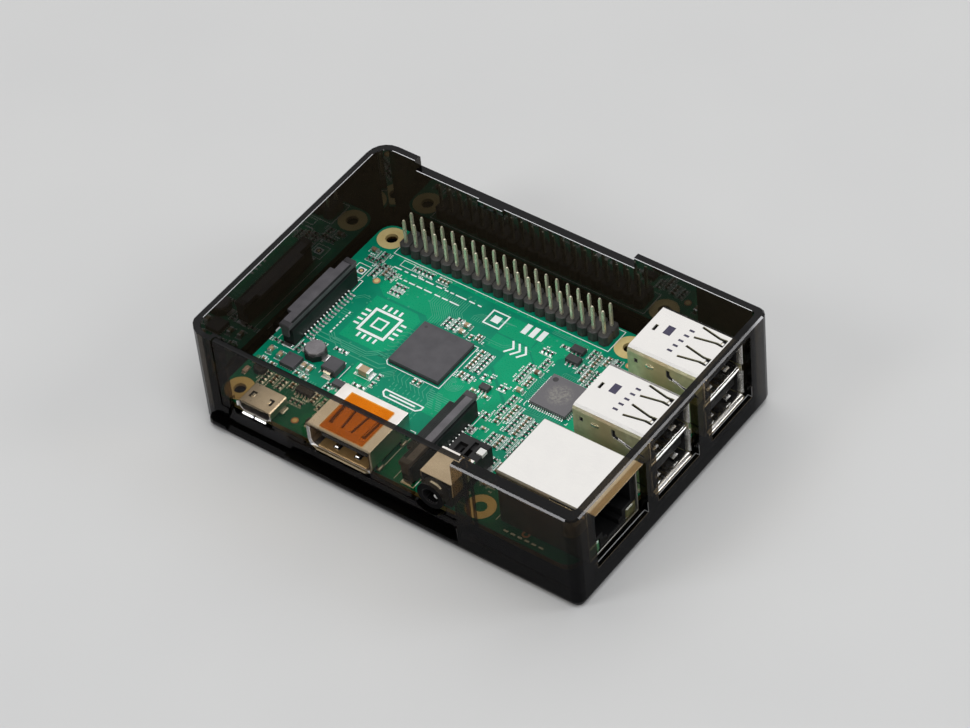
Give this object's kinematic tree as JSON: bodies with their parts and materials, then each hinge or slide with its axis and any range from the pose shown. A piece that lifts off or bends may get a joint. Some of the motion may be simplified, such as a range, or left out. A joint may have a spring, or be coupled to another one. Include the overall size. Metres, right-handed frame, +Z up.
{
  "type": "single board computer",
  "caption": "Small single board computer in an open smoked case tray, with ports along two sides, a pin header, ribbon sockets and a sliding front plate.",
  "frame": {"origin": "centre of the tray's underside, on the surface it rests on", "axes": "+Z up out of the open tray, +X towards the USB and network sockets, +Y towards the pin header, so the HDMI side faces -Y"},
  "size_m": [0.0922, 0.064, 0.0239],
  "materials": {
    "smoked_case_plastic": "glossy smoked translucent plastic",
    "smoked_plate_plastic": "glossy smoked translucent plastic, thinner",
    "green_laminate": "green solder mask over glass laminate",
    "black_plastic": "moulded matte black plastic",
    "grey_plastic": "moulded matte grey plastic",
    "chip_epoxy": "matte epoxy",
    "bright_steel": "bright plated steel sheet",
    "gold_plate": "gold plated",
    "green_lens": "clear tinted lens",
    "yellow_lens": "clear tinted lens",
    "red_lens": "clear tinted lens",
    "amber_film": "amber polyimide film",
    "tan_ceramic": "ceramic",
    "grey_ferrite": "pressed ferrite",
    "spring_wire": "spring steel wire",
    "card_plastic": "black card plastic"
  },
  "bodies": {
    "board_and_tray": {"case_base": "smoked_case_plastic", "circuit_board": "green_laminate", "gpio_header": "black_plastic", "usb_stack_lower_shell": "bright_steel", "usb_stack_upper_shell": "bright_steel", "usb_stack_lower_insert": "black_plastic", "usb_stack_upper_insert": "black_plastic", "network_socket_shield": "bright_steel", "network_socket_housing": "black_plastic", "network_socket_contacts": "gold_plate", "network_lamp_left": "green_lens", "network_lamp_right": "yellow_lens", "hdmi_socket_shell": "bright_steel", "hdmi_socket_tongue": "black_plastic", "hdmi_socket_tape": "amber_film", "power_socket_shell": "bright_steel", "power_socket_tongue": "black_plastic", "audio_jack_body": "black_plastic", "audio_jack_cover": "bright_steel", "audio_jack_contact": "bright_steel", "display_connector_body": "black_plastic", "camera_connector_body": "black_plastic", "processor_package": "chip_epoxy", "memory_package": "chip_epoxy", "network_chip": "chip_epoxy", "power_management_chip": "chip_epoxy", "camera_regulator": "black_plastic", "usb_power_switch": "black_plastic", "level_shifter": "chip_epoxy", "input_diode": "chip_epoxy", "output_capacitor": "tan_ceramic", "power_inductor": "grey_ferrite", "power_lamp": "red_lens", "activity_lamp": "green_lens", "card_socket_frame": "black_plastic", "card_socket_cover": "bright_steel", "card_spring": "spring_wire"},
    "faceplate": {"front_faceplate": "smoked_plate_plastic"},
    "display_latch": {"display_connector_latch": "grey_plastic"},
    "camera_latch": {"camera_connector_latch": "grey_plastic"},
    "card_carrier": {"card_slider": "grey_plastic"},
    "memory_card": {"memory_card": "card_plastic"}
  },
  "joints": [
    {"name": "faceplate_slide", "type": "slide", "parent": "board_and_tray", "child": "faceplate", "axis": [0, 0, 1], "range_m": [0, 0.019]},
    {"name": "display_latch_lift", "type": "slide", "parent": "board_and_tray", "child": "display_latch", "axis": [0, 0, 1], "range_m": [0, 0.0015]},
    {"name": "camera_latch_lift", "type": "slide", "parent": "board_and_tray", "child": "camera_latch", "axis": [0, 0, 1], "range_m": [0, 0.0015]},
    {"name": "card_push", "type": "slide", "parent": "board_and_tray", "child": "card_carrier", "axis": [-1, 0, 0], "range_m": [-0.0006, 0.0012], "deforming": ["card_spring"]},
    {"name": "card_pull", "type": "slide", "parent": "card_carrier", "child": "memory_card", "axis": [-1, 0, 0], "range_m": [0, 0.0135]}
  ]
}
